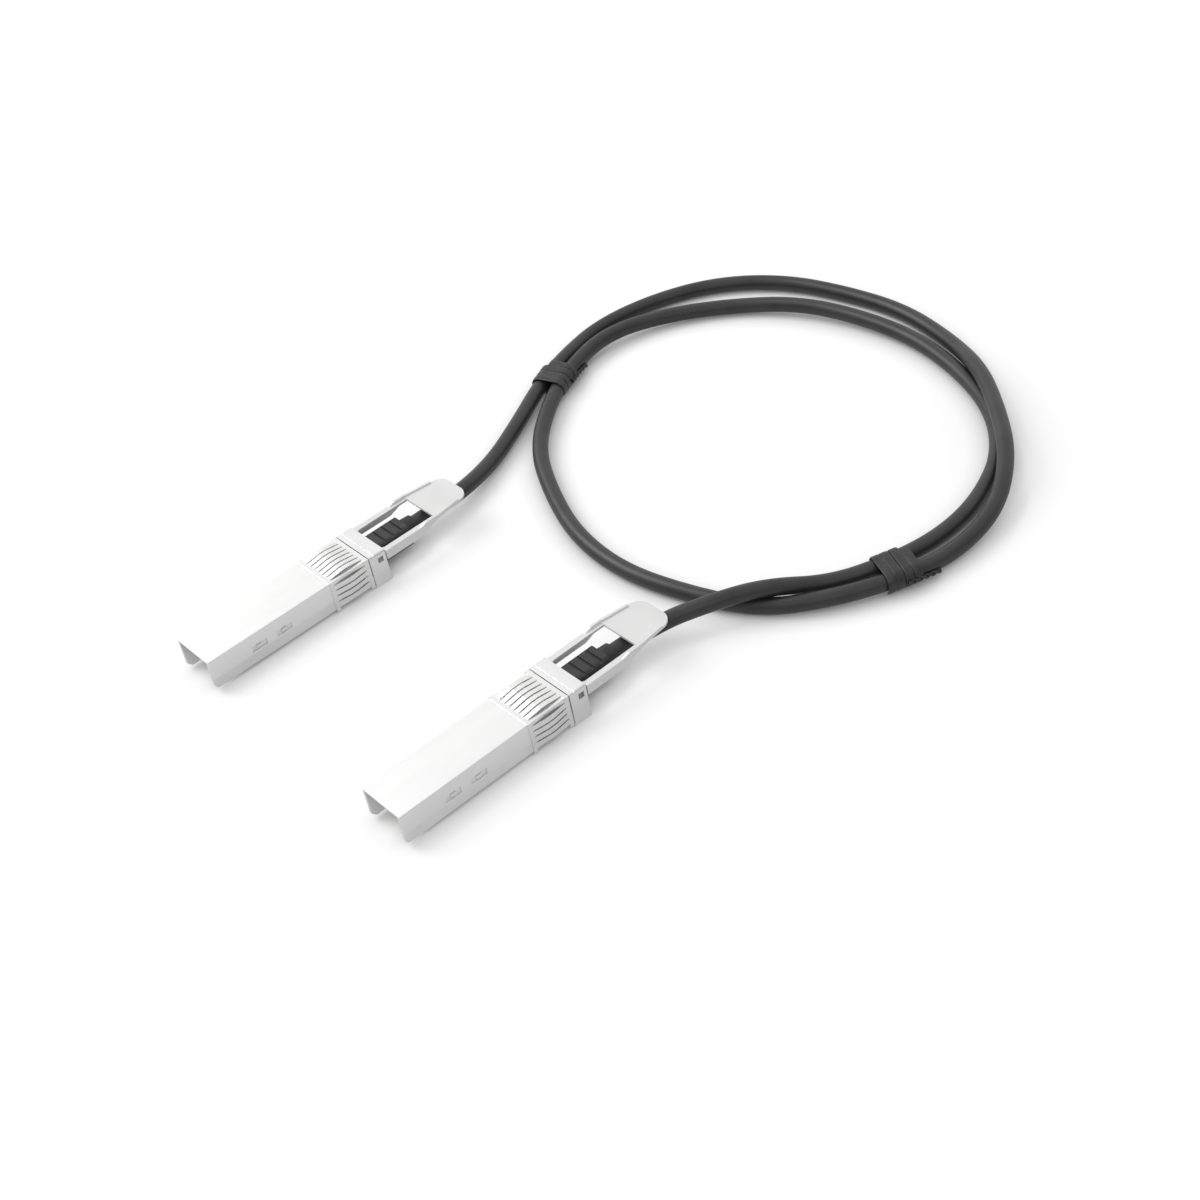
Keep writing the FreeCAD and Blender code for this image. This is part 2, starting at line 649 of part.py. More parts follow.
def rounded_path(corners, share):
    """Straight runs joined by tangent arcs; each arc takes a share of the shorter run beside it."""
    edges = []
    radii = []
    here = corners[0]
    for before, corner, after in zip(corners, corners[1:], corners[2:]):
        back = (before - corner)
        on = (after - corner)
        reach = share * min(back.Length, on.Length)
        back.normalize()
        on.normalize()
        half_turn = (math.pi - back.getAngle(on)) / 2
        radius = reach / math.tan(half_turn)
        inward = back + on
        inward.normalize()
        centre = corner + inward * (radius / math.cos(half_turn))
        first = corner + back * reach
        last = corner + on * reach
        middle = centre - inward * radius
        edges.append(Part.LineSegment(here, first).toShape())
        edges.append(Part.Arc(first, middle, last).toShape())
        radii.append(radius)
        here = last
    edges.append(Part.LineSegment(here, corners[-1]).toShape())
    return Part.Wire(edges), radii


def tube(wire, radius, start, direction):
    """A round solid along a path."""
    ring = Part.Wire([Part.Circle(start, direction, radius).toShape()])
    return wire.makePipeShell([ring], True, False)


def cable_braid(name, side):
    """The cable's braided shield, bare from its end in the ferrule to where the jacket starts."""
    body = new_body(name, side)
    inner = "braid_radius - braid_wall"
    turned(body, [("ferrule_start", inner), ("jacket_start", inner), ("jacket_start", "braid_radius"),
                  ("ferrule_start", "braid_radius")])
    return body


def crimp_ferrule(name, side):
    """Ferrule crimped on the cable's braid, with a flange that bears on the head's inner face."""
    body = new_body(name, side)
    inner = "braid_radius + fit_gap"
    turned(body, [("ferrule_start", inner), ("ferrule_end", inner), ("ferrule_end", FERRULE_OUT),
                  ("stop_at", FERRULE_OUT), ("stop_at", "flange_radius"),
                  ("stop_at - flange_length", "flange_radius"), ("stop_at - flange_length", FERRULE_OUT),
                  ("ferrule_start", FERRULE_OUT)])
    return body


def strain_relief(name, side):
    """Moulded boot: a neck in the head's bore, a block with grip grooves and a short round tail."""
    body = new_body(name, side)
    half = "boot_width / 2"
    low = "cable_axis - boot_height / 2"
    high = "cable_axis + boot_height / 2"
    block = grow(body, "XZ_Plane", rectangle("-%s" % half, half, low, high), "head_end", "boot_end")
    names = edges_where(block, lambda m, d: abs(d.y) > 1)
    rounded = fillet(body, block, names, "boot_round")
    narrow = "braid_radius + fit_gap"
    wide = "cable_radius + fit_gap"
    turned(body, [("ferrule_end + fit_gap", narrow), ("boot_end - 0.2", narrow), ("boot_end - 0.2", wide),
                  ("boot_tail", wide), ("boot_tail", "tail_radius"), ("boot_end - 0.2", "tail_radius + 0.2"),
                  ("boot_end - 0.3", FERRULE_OUT), ("ferrule_end + fit_gap", FERRULE_OUT)])
    turned(body, [("ferrule_end", "0"), ("boot_tail + 0.5", "0"), ("boot_tail + 0.5", wide),
                  ("jacket_start", wide), ("jacket_start", narrow), ("ferrule_end", narrow)], cut=True)
    for z_low, z_high in (("%s - rib_depth" % high, "%s + 0.1" % high),
                          ("%s - 0.1" % low, "%s + rib_depth" % low)):
        groove = rectangle("head_end + rib_pitch", "head_end + rib_pitch + rib_width", z_low, z_high)
        cut = grow(body, "YZ_Plane", groove, "-(%s) - 0.1" % half, "%s + 0.1" % half, True)
        repeat(body, cut, "Y_Axis", "rib_pitch * (rib_count - 1)", "rib_count")
    return body


def release_frame(name, side):
    """Stamped pull frame: a crosspiece over the cable, two arms beside the boot, lugs and legs inside."""
    body = new_body(name, side)
    outer_in = "%s - frame_sheet" % FRAME_HALF
    plate_top = "%s - frame_lip" % CAGE_TOP
    plate_low = "%s - frame_sheet" % plate_top
    narrow = "%s - bridge_taper" % FRAME_HALF
    corners = [("-(%s)" % FRAME_HALF, BRIDGE_START), (FRAME_HALF, BRIDGE_START), (narrow, "plug_length"),
               ("-(%s)" % narrow, "plug_length")]
    plate = grow(body, "XY_Plane", corners, plate_low, plate_top)
    rear = value("plug_length")
    names = edges_where(plate, lambda m, d: abs(m.y - rear) < 0.01 and abs(d.z) > 0.1)
    fillet(body, plate, names, "bridge_round")
    for hand in (-1, 1):
        def across(low, high, hand=hand):
            ends = ("%d * (%s)" % (hand, low), "%d * (%s)" % (hand, high))
            return ends if hand > 0 else (ends[1], ends[0])

        x_low, x_high = across(outer_in, FRAME_HALF)
        join = "%s + 0.5" % BRIDGE_START
        arm = [(JOGGLE, ARM_LOW), ("%s - arm_rise" % BRIDGE_START, ARM_LOW), (join, plate_low),
               (join, CAGE_TOP), ("%s - 3" % BRIDGE_START, CAGE_TOP), ("%s - 5" % BRIDGE_START, ARM_TOP),
               (JOGGLE, ARM_TOP)]
        grow(body, "YZ_Plane", arm, x_low, x_high)
        x_low, x_high = across("%s - arm_flange" % outer_in, "%s + 0.1" % outer_in)
        fold = rectangle(x_low, x_high, JOGGLE, "%s + 0.5" % BRIDGE_START)
        grow(body, "XY_Plane", fold, "%s - frame_sheet" % ARM_TOP, ARM_TOP)
        lip_end = "plug_length - bridge_round"
        far = "%s - bridge_taper * (bridge_length - bridge_round) / bridge_length" % FRAME_HALF
        lip = [(FRAME_HALF, BRIDGE_START), (outer_in, BRIDGE_START), ("%s - frame_sheet" % far, lip_end),
               (far, lip_end)]
        lip = [("%d * (%s)" % (hand, x), y) for x, y in lip]
        grow(body, "XY_Plane", lip, "%s + 0.1" % plate_low, "%s - 0.1" % CAGE_TOP)
        x_low, x_high = across(ARM_IN, FRAME_HALF)
        step = rectangle(JOGGLE, "%s + frame_sheet" % JOGGLE, ARM_LOW, ARM_TOP)
        grow(body, "YZ_Plane", step, x_low, x_high)
        x_low, x_high = across(ARM_IN, ARM_OUT)
        strip = rectangle("lug_start", "%s + 0.1" % JOGGLE, ARM_LOW, ARM_TOP)
        grow(body, "YZ_Plane", strip, x_low, x_high)
        leg = rectangle("%s + 0.2" % BAR_START, "%s - 0.2" % BAR_END, "%s + slide_thick / 2" % SLIDE_LOW,
                        "%s - 0.1" % ARM_TOP)
        grow(body, "YZ_Plane", leg, x_low, x_high)
        x_low, x_high = across("%s - lug_reach" % ARM_OUT, ARM_OUT)
        lug = rectangle("lug_start", "lug_start + frame_sheet", ARM_LOW, ARM_TOP)
        grow(body, "YZ_Plane", lug, x_low, x_high)
    return body


def latch_slide(name, side):
    """Slide under the base: a bar that the frame's legs pull, and two tines with lifting wedges."""
    body = new_body(name, side)
    reach = "%s - slide_clear" % INNER_HALF
    grow(body, "XY_Plane", rectangle("-(%s)" % reach, reach, BAR_START, BAR_END), SLIDE_LOW, SLIDE_TOP)
    for hand in (-1, 1):
        tine = rectangle("%d * tine_inner" % hand, "%d * tine_outer" % hand, "%s - 0.2" % BAR_END,
                         "%s + tine_length" % BAR_END)
        grow(body, "XY_Plane", tine, SLIDE_LOW, SLIDE_TOP)
        wedge = [(BAR_END, SLIDE_LOW), ("%s + wedge_length" % BAR_END, "%s - wedge_height" % SLIDE_LOW),
                 ("%s + wedge_length + 0.4" % BAR_END, "%s - wedge_height" % SLIDE_LOW),
                 ("%s + wedge_length + 0.8" % BAR_END, SLIDE_LOW),
                 ("%s + wedge_length + 0.8" % BAR_END, SLIDE_TOP),
                 (BAR_END, SLIDE_TOP)]
        low, high = ("tine_inner", "tine_outer") if hand > 0 else ("-tine_outer", "-tine_inner")
        grow(body, "YZ_Plane", wedge, low, high)
        # seat of the frame's leg
        seat = rectangle("%d * (%s - 0.02)" % (hand, ARM_IN), "%d * (%s + 0.2)" % (hand, ARM_OUT),
                         "%s + 0.2" % BAR_START, "%s - 0.2" % BAR_END)
        grow(body, "XY_Plane", seat, "%s + slide_thick / 2" % SLIDE_LOW, "%s + 0.1" % SLIDE_TOP, True)
    return body


def return_springs(name, side):
    """Two coil springs between the frame's lugs and the head's inner face."""
    length = size("stop_at") - size("lug_start") - size("frame_sheet") - 2 * size("fit_gap")
    radius = size("spring_radius")
    half_wire = size("wire") / 2
    pitch = (length - 2 * half_wire) / size("spring_turns")
    solids = []
    for hand in (-1, 1):
        helix = Part.makeHelix(pitch, pitch * size("spring_turns"), radius)
        square = Part.makePolygon([V(radius + u * half_wire, 0, v * half_wire)
                                   for u, v in ((-1, -1), (1, -1), (1, 1), (-1, 1), (-1, -1))])
        coil = Part.Wire(helix.Edges).makePipeShell([square], True, True)
        coil.rotate(V(0, 0, 0), V(1, 0, 0), -90)
        x = hand * (value(ARM_IN) - radius - half_wire - size("arm_slot"))
        y = size("lug_start") + size("frame_sheet") + size("fit_gap") + half_wire
        coil.translate(V(x, y, value(ARM_LOW) + size("arm_height") / 2))
        solids.append(coil)
    return place_feature(name, Part.makeCompound(solids), side)


def cable_corners():
    """The route with its two ends inside the plugs."""
    start_y = size("jacket_start") - size("plug_length") / 2
    half = size("plug_pitch") / 2
    ends = [V(half, start_y, size("cable_axis")), V(-half, start_y, size("cable_axis"))]
    return [ends[0]] + [V(*corner) for corner in ROUTE] + [ends[1]]


def cable_jacket(name):
    """The cable from plug to plug, as straight runs and tangent arcs."""
    corners = cable_corners()
    wire, radii = rounded_path(corners, ARC_SHARE)
    shape = tube(wire, size("cable_radius"), corners[0], V(0, 1, 0))
    print("cable: length %.1f mm, least bend radius %.1f mm" % (wire.Length, min(radii)))
    print("cable: radii", [round(radius) for radius in radii])
    print("cable: volume over section times length %.4f"
          % (shape.Volume / (math.pi * size("cable_radius") ** 2 * wire.Length)))
    return place_feature(name, shape, 0)


def tie_solid(name, spread, offset, width):
    """A solid with flat faces and round ends that encloses both strands, grown from them by an offset."""
    reach = "cable_radius + %s" % offset
    slab = doc.addObject("Part::Box", name + "_slab")
    slab.setExpression("Length", bound(spread))
    slab.setExpression("Width", bound(width))
    slab.setExpression("Height", bound("2 * (%s)" % reach))
    slab.setExpression("Placement.Base.x", bound("-%s / 2" % spread))
    slab.setExpression("Placement.Base.y", bound("-(%s) / 2" % width))
    slab.setExpression("Placement.Base.z", bound("-(%s)" % reach))
    members = [slab]
    for hand in (-1, 1):
        end = doc.addObject("Part::Cylinder", name + "_end")
        end.Placement = FreeCAD.Placement(V(0, 0, 0), FreeCAD.Rotation(V(1, 0, 0), -90))
        end.setExpression("Radius", bound(reach))
        end.setExpression("Height", bound(width))
        end.setExpression("Placement.Base.x", bound("%d * %s / 2" % (hand, spread)))
        end.setExpression("Placement.Base.y", bound("-(%s) / 2" % width))
        members.append(end)
    joined = doc.addObject("Part::MultiFuse", name + "_solid")
    joined.Shapes = members
    return joined


def cable_tie(name, place):
    """A band wound round both strands of the loop, with its twisted tail; place is the tie's own prefix."""
    spread = place + "_spread"
    outside = tie_solid(name + "_outside", spread, "tie_gap + tie_thick", "tie_width")
    inside = tie_solid(name + "_inside", spread, "tie_gap", "tie_width + 1")
    band = doc.addObject("Part::Cut", name + "_band")
    band.Base = outside
    band.Tool = inside
    tail = doc.addObject("Part::Cylinder", name + "_tail")
    tail.Placement = FreeCAD.Placement(V(0, 0, 0), FreeCAD.Rotation(V(0, 0, 1), V(0, 1, 0)))
    tail.setExpression("Radius", bound("tail_radius_of_tie"))
    tail.setExpression("Height", bound("tie_tail"))
    tail.setExpression("Placement.Base.x",
                       bound("%s / 2 + cable_radius + tie_gap + tail_radius_of_tie" % spread))
    tie = doc.addObject("Part::MultiFuse", name)
    tie.Label = name
    tie.Shapes = [band, tail]
    turn = FreeCAD.Rotation(V(0, 0, 1), size(place + "_turn"))
    tie.Placement = FreeCAD.Placement(V(0, 0, 0), turn)
    for axis in "xyz":
        tie.setExpression("Placement.Base." + axis, bound("%s_%s" % (place, axis)))
    PARTS.append(tie)
    return tie


for letter, side in (("a", -1), ("b", 1)):
    housing_base("housing_base_" + letter, side)
    housing_cover("housing_cover_" + letter, side)
    shield_collar("shield_collar_" + letter, side)
    paddle_card("paddle_card_" + letter, side)
    contact_pads("contact_pads_" + letter, side)
    card_chips("card_chips_" + letter, side)
    shielded_pairs("shielded_pairs_" + letter, side)
    pair_conductors("pair_conductors_" + letter, side)
    cable_braid("cable_braid_" + letter, side)
    crimp_ferrule("crimp_ferrule_" + letter, side)
    strain_relief("strain_relief_" + letter, side)
    release_frame("release_frame_" + letter, side)
    latch_slide("latch_slide_" + letter, side)
    return_springs("return_springs_" + letter, side)
cable_jacket("cable_jacket")
cable_tie("tie_left", "left_tie")
cable_tie("tie_right", "right_tie")

doc.recompute()
for item in doc.Objects:
    if "Invalid" in item.State or "Error" in item.State:
        raise RuntimeError("%s failed: %s" % (item.Label, item.State))
for piece in PARTS:
    if piece.Shape.isNull() or not piece.Shape.isValid():
        raise RuntimeError(piece.Label + " has no valid shape")
os.makedirs("parts", exist_ok=True)
for piece in PARTS:
    piece.Shape.exportStep("parts/%s.step" % piece.Label)
    box = piece.Shape.BoundBox
    print("%-20s solids %2d  volume %9.2f  z %6.2f to %6.2f" % (
        piece.Label, len(piece.Shape.Solids), piece.Shape.Volume, box.ZMin, box.ZMax))
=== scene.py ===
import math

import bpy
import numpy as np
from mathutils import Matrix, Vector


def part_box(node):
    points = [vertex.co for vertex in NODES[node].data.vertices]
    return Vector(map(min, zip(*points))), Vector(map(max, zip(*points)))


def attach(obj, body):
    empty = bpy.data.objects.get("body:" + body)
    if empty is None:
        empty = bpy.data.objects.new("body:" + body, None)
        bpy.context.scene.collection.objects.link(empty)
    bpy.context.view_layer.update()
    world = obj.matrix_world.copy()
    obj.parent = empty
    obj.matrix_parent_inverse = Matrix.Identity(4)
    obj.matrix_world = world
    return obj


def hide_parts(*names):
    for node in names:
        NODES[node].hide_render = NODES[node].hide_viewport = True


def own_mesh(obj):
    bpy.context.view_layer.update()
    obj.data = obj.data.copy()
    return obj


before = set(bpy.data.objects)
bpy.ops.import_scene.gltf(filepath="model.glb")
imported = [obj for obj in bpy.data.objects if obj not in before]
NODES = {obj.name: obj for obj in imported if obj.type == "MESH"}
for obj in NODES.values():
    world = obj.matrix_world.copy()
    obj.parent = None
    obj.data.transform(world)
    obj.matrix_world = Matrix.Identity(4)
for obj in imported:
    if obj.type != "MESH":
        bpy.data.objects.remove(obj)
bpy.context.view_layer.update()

# %% [markdown]
# # A direct attach copper cable
#
# Two metal plugs stand side by side, and one black cable runs from plug to plug in a loose loop that two
# twist ties hold.  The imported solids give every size.  This script adds what solids don't carry: the
# camera and the light, the cable on its smooth line, the wound ties, the coil springs, and a procedural
# material for each surface.  Lengths are metres.

MM = 0.001
PLUGS = "ab"
print("solids loaded:", len(NODES))

# %% [markdown]
# ## Camera
#
# The view looks down at 40 degrees across the plugs' noses, and it is turned about its own axis by 12
# degrees, so the plugs climb steeply to the right.  A camera is often aimed by a Track To constraint, but
# that keeps the horizon level.  Here its matrix is built from three unit vectors instead: where it looks,
# what is right and what is up.

# %% Camera
ELEVATION = math.radians(40.0)
AZIMUTH = math.radians(56.4)
ROLL = math.radians(-12.0)
DISTANCE = 0.489
LOOK_AT = np.array([0.01698, 0.0392, 0.0])
FOCAL_LENGTH = 61.86
SENSOR_WIDTH = 36.0

away = np.array([
    -math.sin(AZIMUTH) * math.cos(ELEVATION),
    math.cos(AZIMUTH) * math.cos(ELEVATION),
    -math.sin(ELEVATION),
])
level = np.array([math.cos(AZIMUTH), math.sin(AZIMUTH), 0.0])
upright = np.cross(level, away)
right = math.cos(ROLL) * level + math.sin(ROLL) * upright
up = math.cos(ROLL) * upright - math.sin(ROLL) * level
position = LOOK_AT - away * DISTANCE
print("camera at", np.round(position, 4), "looks along", np.round(away, 3))

# %% Camera in place
camera_data = bpy.data.cameras.new("camera")
camera_data.lens = FOCAL_LENGTH
camera_data.sensor_width = SENSOR_WIDTH
camera = bpy.data.objects.new("camera", camera_data)
turn = np.eye(4)
turn[:3, 0] = right
turn[:3, 1] = up
turn[:3, 2] = -away
turn[:3, 3] = position
camera.matrix_world = Matrix(turn.tolist())
bpy.context.scene.collection.objects.link(camera)
bpy.context.scene.camera = camera
bpy.context.scene.view_settings.view_transform = "Standard"
print("field of view: %.1f degrees" % math.degrees(camera_data.angle))


# %% [markdown]
# ## Materials
#
# No real surface has one flat colour or one flat gloss.  An image could carry the changes, but it has a
# limited sharpness and needs a layout for every piece.  Here two noises do the work on any piece: a coarse
# noise moves the colour between two tones, and a fine noise moves the roughness and lifts the surface a
# little.  Rolled sheet gets its noise stretched along the rolling direction, and moulded plastic gets a
# round grain.

# %% Node helpers
def noise(tree, vector, scale, detail):
    """Output of a noise over a vector: scale in waves a metre, detail in octaves."""
    node = tree.nodes.new("ShaderNodeTexNoise")
    node.inputs["Scale"].default_value = scale
    node.inputs["Detail"].default_value = detail
    tree.links.new(vector, node.inputs["Vector"])
    return node.outputs["Fac"]


def ranged(tree, value, low, high, start=0.0, end=1.0):
    """Output that runs from low to high while value runs from start to end, and stays there beyond."""
    node = tree.nodes.new("ShaderNodeMapRange")
    node.inputs["From Min"].default_value = start
    node.inputs["From Max"].default_value = end
    node.inputs["To Min"].default_value = low
    node.inputs["To Max"].default_value = high
    tree.links.new(value, node.inputs["Value"])
    return node.outputs["Result"]


# %% Material builder
CLOUD_DETAIL = 4.0
GRAIN_DETAIL = 3.0
CLOUD_EDGES = (0.35, 0.65)
RELIEF_STRENGTH = 0.6


def finish(name, dark, light, rough, grain, relief, metallic=0.0, stretch=(1, 1, 1), cloud=60.0,
           specular=0.5):
    """A Principled surface: colour = mix(dark, light, noise(cloud p)), roughness = rough[0]..rough[1]
    by noise(grain p), and a bump of height relief from that fine noise, with p the object coordinates
    scaled by stretch."""
    material = bpy.data.materials.new(name)
    material.use_nodes = True
    tree = material.node_tree
    principled = tree.nodes["Principled BSDF"]
    principled.inputs["Metallic"].default_value = metallic
    principled.inputs["Specular IOR Level"].default_value = specular

    place = tree.nodes.new("ShaderNodeTexCoord")
    mapping = tree.nodes.new("ShaderNodeMapping")
    mapping.inputs["Scale"].default_value = stretch
    tree.links.new(place.outputs["Object"], mapping.inputs["Vector"])

    ramp = tree.nodes.new("ShaderNodeValToRGB")
    for element, edge, tone in zip(ramp.color_ramp.elements, CLOUD_EDGES, (dark, light)):
        element.position = edge
        element.color = (*tone, 1)
    tree.links.new(noise(tree, mapping.outputs["Vector"], cloud, CLOUD_DETAIL), ramp.inputs["Fac"])
    tree.links.new(ramp.outputs["Color"], principled.inputs["Base Color"])

    fine = noise(tree, mapping.outputs["Vector"], grain, GRAIN_DETAIL)
    tree.links.new(ranged(tree, fine, *rough), principled.inputs["Roughness"])
    bump = tree.nodes.new("ShaderNodeBump")
    bump.inputs["Strength"].default_value = RELIEF_STRENGTH
    bump.inputs["Distance"].default_value = relief
    tree.links.new(fine, bump.inputs["Height"])
    tree.links.new(bump.outputs["Normal"], principled.inputs["Normal"])
    return material


# %% [markdown]
# ## Metals
#
# The base of a plug is die-cast and nickel plated, so it is slightly cloudy.  The cover and the collar are
# folded from rolled sheet, with a grain that runs along the plug, and the grain of the release frame runs
# across it.  A plain mirror metal would show the room as sharp streaks that such surfaces don't have, so
# all of them are rough by about a third.  The release frame is dull, and a low metallic value gives it a
# chalky white.  Wire, pads and foil inside are smoother and fully metallic.

# %% Metals outside
cast = finish("cast_nickel", (0.72, 0.72, 0.725), (0.80, 0.80, 0.805), (0.34, 0.48), 2600, 0.012 * MM,
              metallic=0.85)
rolled = finish("rolled_cover", (0.79, 0.79, 0.79), (0.85, 0.85, 0.845), (0.30, 0.44), 1500, 0.006 * MM,
                metallic=0.8, stretch=(1, 0.12, 1))
sprung = finish("spring_sheet", (0.72, 0.72, 0.72), (0.81, 0.81, 0.805), (0.30, 0.42), 1800, 0.004 * MM,
                metallic=0.9, stretch=(1, 0.2, 1))
stamped = finish("stamped_frame", (0.72, 0.72, 0.72), (0.80, 0.80, 0.795), (0.36, 0.48), 1700, 0.006 * MM,
                 metallic=0.3, stretch=(0.3, 1, 1))
print("metals outside:", ", ".join(metal.name for metal in (cast, rolled, sprung, stamped)))

# %% Metals inside
drawn = finish("drawn_wire", (0.42, 0.42, 0.43), (0.58, 0.58, 0.59), (0.22, 0.34), 3000, 0.003 * MM,
               metallic=1.0)
tinned = finish("tinned_ferrule", (0.60, 0.59, 0.56), (0.72, 0.71, 0.68), (0.30, 0.44), 2000, 0.006 * MM,
                metallic=0.95)
gilt = finish("gold_pads", (0.74, 0.50, 0.16), (0.88, 0.64, 0.26), (0.20, 0.32), 3500, 0.002 * MM,
              metallic=1.0, cloud=400)
foil = finish("foil_wrap", (0.62, 0.63, 0.64), (0.80, 0.81, 0.82), (0.18, 0.38), 900, 0.03 * MM,
              metallic=1.0, stretch=(1, 0.4, 1), cloud=500)
silvered = finish("silvered_wire", (0.66, 0.64, 0.60), (0.78, 0.76, 0.72), (0.18, 0.30), 3000, 0.002 * MM,
                  metallic=1.0)
braided = finish("tinned_braid", (0.36, 0.34, 0.31), (0.66, 0.64, 0.60), (0.30, 0.50), 1600, 0.05 * MM,
                 metallic=0.95, cloud=1500)
print("metals inside:", ", ".join(metal.name for metal in (drawn, tinned, gilt, foil, silvered, braided)))

# %% [markdown]
# ## Plastics
#
# The jacket is extruded, with a soft sheen.  The boot is moulded in a grained tool, and the ribbon of a tie
# is a drawn film.  All three are black, but a pure black would hide their form, so each keeps one to three
# per cent of the light and a little gloss.  The board is green under its clear mask, and the chips have a
# dull black moulding.

# %% Plastics
jacket = finish("cable_jacket", (0.016, 0.016, 0.017), (0.028, 0.028, 0.030), (0.36, 0.50), 2200,
                0.010 * MM, cloud=140, specular=0.55)
moulded = finish("boot_moulding", (0.014, 0.014, 0.015), (0.024, 0.024, 0.026), (0.38, 0.54), 2600,
                 0.012 * MM, cloud=300, specular=0.5)
ribbon = finish("tie_ribbon", (0.014, 0.014, 0.015), (0.030, 0.030, 0.032), (0.34, 0.52), 1500, 0.02 * MM,
                cloud=500, specular=0.5)
board = finish("circuit_board", (0.010, 0.075, 0.028), (0.016, 0.115, 0.045), (0.26, 0.38), 1200,
               0.006 * MM, cloud=700)
package = finish("chip_package", (0.018, 0.018, 0.020), (0.034, 0.034, 0.036), (0.44, 0.56), 2400,
                 0.008 * MM, cloud=800)
print("plastics:", ", ".join(plastic.name for plastic in (jacket, moulded, ribbon, board, package)))

# %% [markdown]
# ## Materials on the solids
#
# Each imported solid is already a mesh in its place, so it only needs its material.  The two plugs are the
# same, and one table by the name without its last letter dresses both.

# %% Materials on the solids
WORN_BY = {
    "housing_base": cast, "housing_cover": rolled, "shield_collar": sprung, "paddle_card": board,
    "contact_pads": gilt, "card_chips": package, "shielded_pairs": foil, "pair_conductors": silvered,
    "cable_braid": braided, "crimp_ferrule": tinned, "strain_relief": moulded, "release_frame": stamped,
    "latch_slide": stamped, "return_springs": drawn, "cable_jacket": jacket, "tie_left": ribbon,
    "tie_right": ribbon,
}
for node_name, node in NODES.items():
    family = node_name[:-2] if node_name[-2:] in ("_a", "_b") else node_name
    node.data.materials.clear()
    node.data.materials.append(WORN_BY[family])
print("solids dressed:", len(NODES), "in", len(set(WORN_BY.values())), "materials")


# %% [markdown]
# ## The cable
#
# The real cable is one extruded jacket over two shielded pairs.  It keeps a fixed length, springs into wide
# bends and lies on the table.  A cloth or rope simulation could lay it, but it would come to rest elsewhere
# each time a value changed, so its line is drawn as one smooth spline: out of plug b, over the strand that
# crosses there, one and a half times round the loop with the outer strand riding over the inner one on the
# far side, and back to plug a.  Its height at each crossing comes from the cable's own thickness.

# %% Cable route
CABLE_RADIUS = 2.1 * MM
AXIS_Z = 0.5 * (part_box("cable_braid_b")[0].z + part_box("cable_braid_b")[1].z)
JACKET_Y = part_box("cable_braid_b")[1].y
PLUG_X = 37.8 * MM
ROUTE = [
    (37.8, 37.2, 4.8), (45.8, 51.3, 7.2), (50.8, 62.5, 6.3), (58.3, 75.3, 2.4), (64.7, 88.7, 3.1),
    (67.0, 104.0, 2.4), (64.7, 120.1, 2.2), (57.0, 136.5, 2.2), (43.2, 149.2, 2.2), (25.6, 156.9, 2.2),
    (7.0, 160.8, 2.6), (-12.1, 159.2, 3.0), (-29.2, 154.2, 3.3), (-44.5, 144.3, 2.3), (-56.4, 129.6, 2.8),
    (-62.6, 112.7, 3.7), (-59.6, 96.6, 2.9), (-51.3, 81.8, 3.1), (-38.8, 66.9, 2.7), (-22.0, 57.4, 2.3),
    (-3.5, 50.0, 2.3), (15.5, 48.2, 2.2), (34.0, 52.1, 2.3), (51.2, 59.0, 2.1), (62.7, 71.1, 3.2),
    (70.3, 86.1, 3.1), (73.5, 102.0, 2.5), (71.4, 118.5, 3.7), (62.2, 133.3, 6.2), (48.1, 145.8, 6.6),
    (33.2, 156.6, 6.0), (15.4, 165.2, 2.5), (-4.0, 169.0, 2.2), (-22.9, 166.5, 2.2), (-41.5, 160.9, 2.3),
    (-56.8, 149.0, 2.3), (-65.6, 132.6, 2.2), (-68.8, 115.1, 2.2), (-65.3, 99.6, 2.5), (-59.5, 85.5, 3.2),
    (-51.8, 71.1, 2.5), (-43.6, 54.8, 2.4), (-37.8, 37.0, 4.8),
]
corners = [(PLUG_X, JACKET_Y, AXIS_Z)]
corners += [(x * MM, y * MM, z * MM) for x, y, z in ROUTE]
corners += [(-PLUG_X, JACKET_Y, AXIS_Z)]
print("control points:", len(corners))


# %% Spline
def spline(name, points, bevel):
    """A NURBS curve of order 3 through the ends of its control points, with a round section."""
    data = bpy.data.curves.new(name, "CURVE")
    data.dimensions = "3D"
    data.resolution_u = 12
    data.bevel_depth = bevel
    data.bevel_resolution = 6
    data.use_fill_caps = True
    line = data.splines.new("NURBS")
    line.points.add(len(points) - 1)
    for point, corner in zip(line.points, points):
        point.co = (*corner, 1.0)
    line.order_u = 3
    line.use_endpoint_u = True
    curve = bpy.data.objects.new(name, data)
    bpy.context.scene.collection.objects.link(curve)
    return curve


# %% Centre line
def centre_line(points):
    """The spline's own points, read from a curve without a section."""
    bare = spline("bare_line", points, 0.0)
    bpy.context.view_layer.update()
    depsgraph = bpy.context.evaluated_depsgraph_get()
    mesh = bpy.data.meshes.new_from_object(bare.evaluated_get(depsgraph))
    line = np.empty(len(mesh.vertices) * 3)
    mesh.vertices.foreach_get("co", line)
    bpy.data.objects.remove(bare)
    bpy.data.meshes.remove(mesh)
    return line.reshape(-1, 3)


# %% Cable piece
cable = spline("cable", corners, CABLE_RADIUS)
cable.data.materials.append(jacket)
CABLE_LINE = centre_line(corners)
steps = np.linalg.norm(np.diff(CABLE_LINE, axis=0), axis=1)

# %% [markdown]
# ## Mesh helpers
#
# The ties and the springs are new meshes.  A curve object with a section could carry them too, but its
# section can't turn and flatten as a wound ribbon does.  So each piece is a surface over two parameters,
# u along it and v round it: numpy works out the whole grid of points at once, and one helper joins
# neighbouring points into faces.

